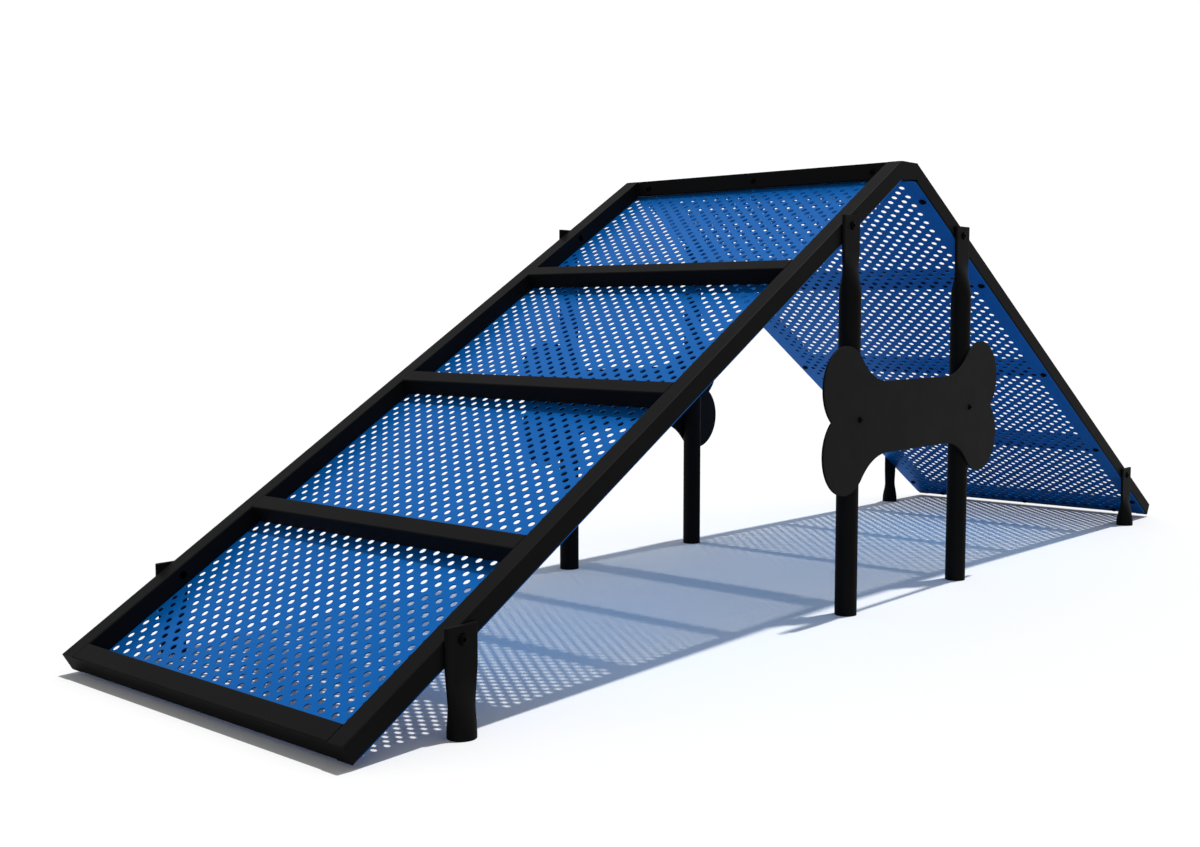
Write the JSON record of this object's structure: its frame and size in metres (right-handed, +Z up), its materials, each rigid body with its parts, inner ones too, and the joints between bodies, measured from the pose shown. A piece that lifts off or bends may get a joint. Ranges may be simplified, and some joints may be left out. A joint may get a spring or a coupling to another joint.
{
  "type": "agility a frame",
  "caption": "Dog agility A frame of square steel tube with blue perforated ramp sheets, cross cleats, round tube legs and bone shaped side plaques.",
  "frame": {"origin": "on the ground under the middle of the ridge, the bottom centre of the bounding box", "axes": "+X along the ramps towards the rear ramp's low end, +Y across the ramps to the left, +Z up"},
  "size_m": [3.28, 0.8872, 1.003],
  "materials": {
    "frame_black": "semi-gloss black powder coat",
    "leg_black": "semi-gloss black powder coat",
    "plaque_black": "semi-gloss black powder coat",
    "cap_black": "semi-gloss black powder coat",
    "panel_blue": "smooth blue powder coat",
    "fastener_black": "black oxide steel"
  },
  "bodies": {
    "root": {"front_left_side_rail": "frame_black", "front_right_side_rail": "frame_black", "front_bottom_rail": "frame_black", "front_cleat_low": "frame_black", "front_cleat_mid": "frame_black", "front_cleat_high": "frame_black", "front_ridge_tube": "frame_black", "front_perforated_panel": "panel_blue", "rear_left_side_rail": "frame_black", "rear_right_side_rail": "frame_black", "rear_bottom_rail": "frame_black", "rear_cleat_low": "frame_black", "rear_cleat_mid": "frame_black", "rear_cleat_high": "frame_black", "rear_ridge_tube": "frame_black", "rear_perforated_panel": "panel_blue", "front_left_short_leg": "leg_black", "front_right_short_leg": "leg_black", "rear_left_short_leg": "leg_black", "rear_right_short_leg": "leg_black", "front_left_tall_post": "leg_black", "front_right_tall_post": "leg_black", "rear_left_tall_post": "leg_black", "rear_right_tall_post": "leg_black", "left_bone_plaque": "plaque_black", "right_bone_plaque": "plaque_black", "leg_bolts": "fastener_black", "leg_nuts": "fastener_black", "ridge_bolts": "fastener_black", "ridge_nuts": "fastener_black", "plaque_bolts": "fastener_black", "plaque_nuts": "fastener_black", "panel_screws": "fastener_black", "rail_end_caps": "cap_black", "ridge_end_caps": "cap_black"}
  },
  "joints": []
}
